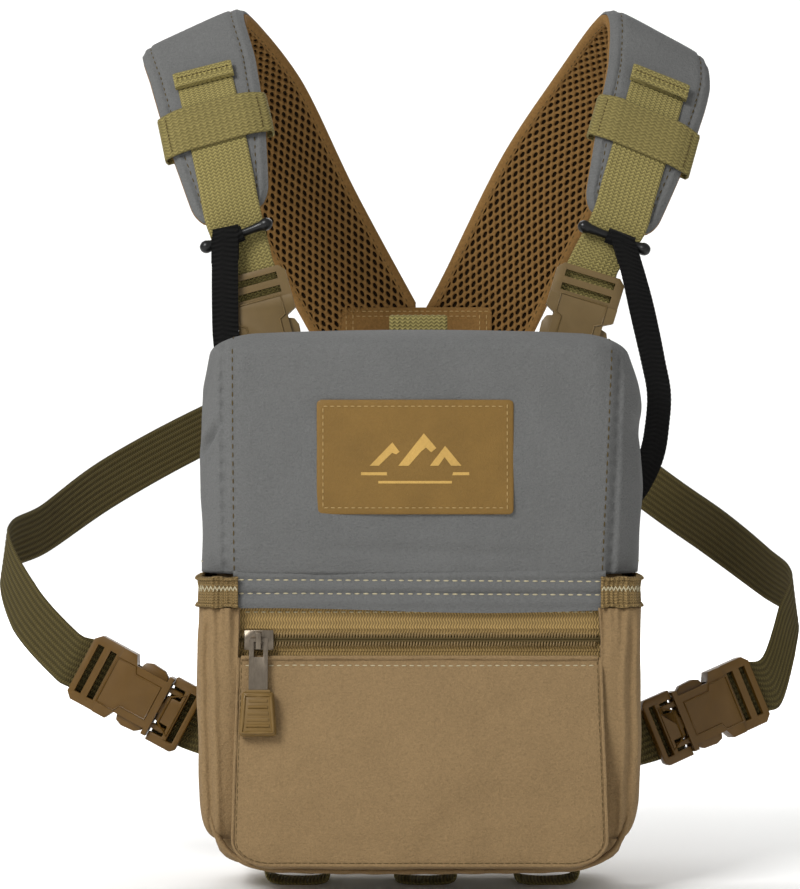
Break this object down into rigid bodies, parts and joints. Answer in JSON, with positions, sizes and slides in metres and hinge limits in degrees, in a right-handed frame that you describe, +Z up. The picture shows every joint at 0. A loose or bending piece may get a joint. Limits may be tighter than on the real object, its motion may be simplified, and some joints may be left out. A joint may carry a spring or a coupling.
{
  "type": "binocular harness pack",
  "caption": "Chest-worn binocular pack with a forward-opening lid, zipped front pocket, side pockets and a padded shoulder harness with side-release buckles.",
  "frame": {"origin": "centre of the back pad's rear face, which lies on the wearer's chest", "axes": "+X to the viewer's right, -Y the pack's front, +Y towards the wearer, +Z up"},
  "size_m": [0.4011, 0.2826, 0.4339],
  "materials": {
    "tan_softshell": "brushed stretch cloth, matt",
    "lining": "smooth woven lining",
    "board": "matt board",
    "zip_tape": "twill tape, matt",
    "zip_coil": "satin nylon coil",
    "zip_metal": "brushed, darkened",
    "grip_rubber": "moulded, matt",
    "elastic": "ribbed elastic",
    "grey_softshell": "brushed stretch cloth, matt",
    "patch_leather": "satin, printed",
    "magnet": "plated",
    "khaki_webbing": "ribbed webbing",
    "olive_webbing": "ribbed webbing",
    "spacer_mesh": "spacer mesh, matt",
    "black_plastic": "gloss",
    "black_webbing": "ribbed webbing",
    "buckle_plastic": "semi-gloss moulded"
  },
  "bodies": {
    "harness": {"main_bag": "tan_softshell", "back_pad": "tan_softshell", "front_pocket": "tan_softshell", "side_pocket_left": "tan_softshell", "side_pocket_right": "tan_softshell", "bag_liner": "lining", "back_stiffener": "board", "zip_tape_upper": "zip_tape", "zip_tape_lower": "zip_tape", "zip_coil_upper": "zip_coil", "zip_coil_lower": "zip_coil", "pocket_elastic_left": "elastic", "pocket_elastic_right": "elastic", "keeper_band_left": "elastic", "keeper_band_right": "elastic", "lid_hinge_strip": "grey_softshell", "shoulder_pad_left": "grey_softshell", "shoulder_pad_right": "grey_softshell", "bag_magnet": "magnet", "bottom_webbing": "khaki_webbing", "shoulder_webbing_left": "khaki_webbing", "shoulder_webbing_right": "khaki_webbing", "webbing_tab_left": "khaki_webbing", "webbing_tab_right": "khaki_webbing", "yoke_plate": "olive_webbing", "grab_loop": "olive_webbing", "side_strap_left": "olive_webbing", "side_strap_right": "olive_webbing", "strap_stub_shoulder_left": "olive_webbing", "strap_stub_shoulder_right": "olive_webbing", "strap_stub_side_left": "olive_webbing", "strap_stub_side_right": "olive_webbing", "shoulder_mesh_left": "spacer_mesh", "shoulder_mesh_right": "spacer_mesh", "strap_bar_left": "black_plastic", "strap_bar_right": "black_plastic", "tether_left": "black_webbing", "tether_right": "black_webbing", "buckle_socket_shoulder_left": "buckle_plastic", "buckle_plug_shoulder_left": "buckle_plastic", "buckle_socket_shoulder_right": "buckle_plastic", "buckle_plug_shoulder_right": "buckle_plastic", "buckle_socket_side_left": "buckle_plastic", "buckle_plug_side_left": "buckle_plastic", "buckle_socket_side_right": "buckle_plastic", "buckle_plug_side_right": "buckle_plastic"},
    "lid": {"lid_shell": "grey_softshell", "lid_patch": "patch_leather", "lid_magnet": "magnet"},
    "slider": {"zip_slider": "zip_metal"},
    "pull": {"zip_pull_tab": "zip_metal", "zip_pull_grip": "grip_rubber"},
    "prong_shoulder_left_a": {"buckle_prong_shoulder_left_a": "buckle_plastic"},
    "prong_shoulder_left_b": {"buckle_prong_shoulder_left_b": "buckle_plastic"},
    "prong_shoulder_right_a": {"buckle_prong_shoulder_right_a": "buckle_plastic"},
    "prong_shoulder_right_b": {"buckle_prong_shoulder_right_b": "buckle_plastic"},
    "prong_side_left_a": {"buckle_prong_side_left_a": "buckle_plastic"},
    "prong_side_left_b": {"buckle_prong_side_left_b": "buckle_plastic"},
    "prong_side_right_a": {"buckle_prong_side_right_a": "buckle_plastic"},
    "prong_side_right_b": {"buckle_prong_side_right_b": "buckle_plastic"}
  },
  "joints": [
    {"name": "lid_hinge", "type": "hinge", "parent": "harness", "child": "lid", "pos_m": [0, -0.0905, 0.0106], "axis": [1, 0, 0], "range_deg": [0, 110]},
    {"name": "zip_slide", "type": "slide", "parent": "harness", "child": "slider", "axis": [1, 0, 0], "range_m": [0, 0.146]},
    {"name": "pull_swing", "type": "hinge", "parent": "slider", "child": "pull", "pos_m": [-0.0743, -0.0932, -0.019], "axis": [-1, 0, 0], "range_deg": [0, 80]},
    {"name": "squeeze_shoulder_left_a", "type": "hinge", "parent": "harness", "child": "prong_shoulder_left_a", "pos_m": [-0.06099, 0.004, 0.11054], "axis": [0, -1, 0], "range_deg": [0, 9], "stiffness_Nm_per_rad": 1},
    {"name": "squeeze_shoulder_left_b", "type": "hinge", "parent": "harness", "child": "prong_shoulder_left_b", "pos_m": [-0.07953, 0.004, 0.10554], "axis": [0, -1, 0], "range_deg": [-9, 0], "stiffness_Nm_per_rad": 1},
    {"name": "squeeze_shoulder_right_a", "type": "hinge", "parent": "harness", "child": "prong_shoulder_right_a", "pos_m": [0.08104, 0.004, 0.10649], "axis": [0, -1, 0], "range_deg": [0, 9], "stiffness_Nm_per_rad": 1},
    {"name": "squeeze_shoulder_right_b", "type": "hinge", "parent": "harness", "child": "prong_shoulder_right_b", "pos_m": [0.06267, 0.004, 0.11205], "axis": [0, -1, 0], "range_deg": [-9, 0], "stiffness_Nm_per_rad": 1},
    {"name": "squeeze_side_left_a", "type": "hinge", "parent": "harness", "child": "prong_side_left_a", "pos_m": [-0.11495, -0.02579, -0.05061], "axis": [-0.0662, -0.9972, 0.0353], "range_deg": [0, 9], "stiffness_Nm_per_rad": 1},
    {"name": "squeeze_side_left_b", "type": "hinge", "parent": "harness", "child": "prong_side_left_b", "pos_m": [-0.12398, -0.02579, -0.06756], "axis": [-0.0662, -0.9972, 0.0353], "range_deg": [-9, 0], "stiffness_Nm_per_rad": 1},
    {"name": "squeeze_side_right_a", "type": "hinge", "parent": "harness", "child": "prong_side_right_a", "pos_m": [0.1257, -0.02027, -0.07523], "axis": [0.2615, -0.9593, 0.107], "range_deg": [0, 9], "stiffness_Nm_per_rad": 1},
    {"name": "squeeze_side_right_b", "type": "hinge", "parent": "harness", "child": "prong_side_right_b", "pos_m": [0.11843, -0.02027, -0.05746], "axis": [0.2615, -0.9593, 0.107], "range_deg": [-9, 0], "stiffness_Nm_per_rad": 1}
  ],
  "couplings": [
    {"joint": "squeeze_shoulder_left_b", "follows": "squeeze_shoulder_left_a", "ratio": -1},
    {"joint": "squeeze_shoulder_right_b", "follows": "squeeze_shoulder_right_a", "ratio": -1},
    {"joint": "squeeze_side_left_b", "follows": "squeeze_side_left_a", "ratio": -1},
    {"joint": "squeeze_side_right_b", "follows": "squeeze_side_right_a", "ratio": -1}
  ]
}
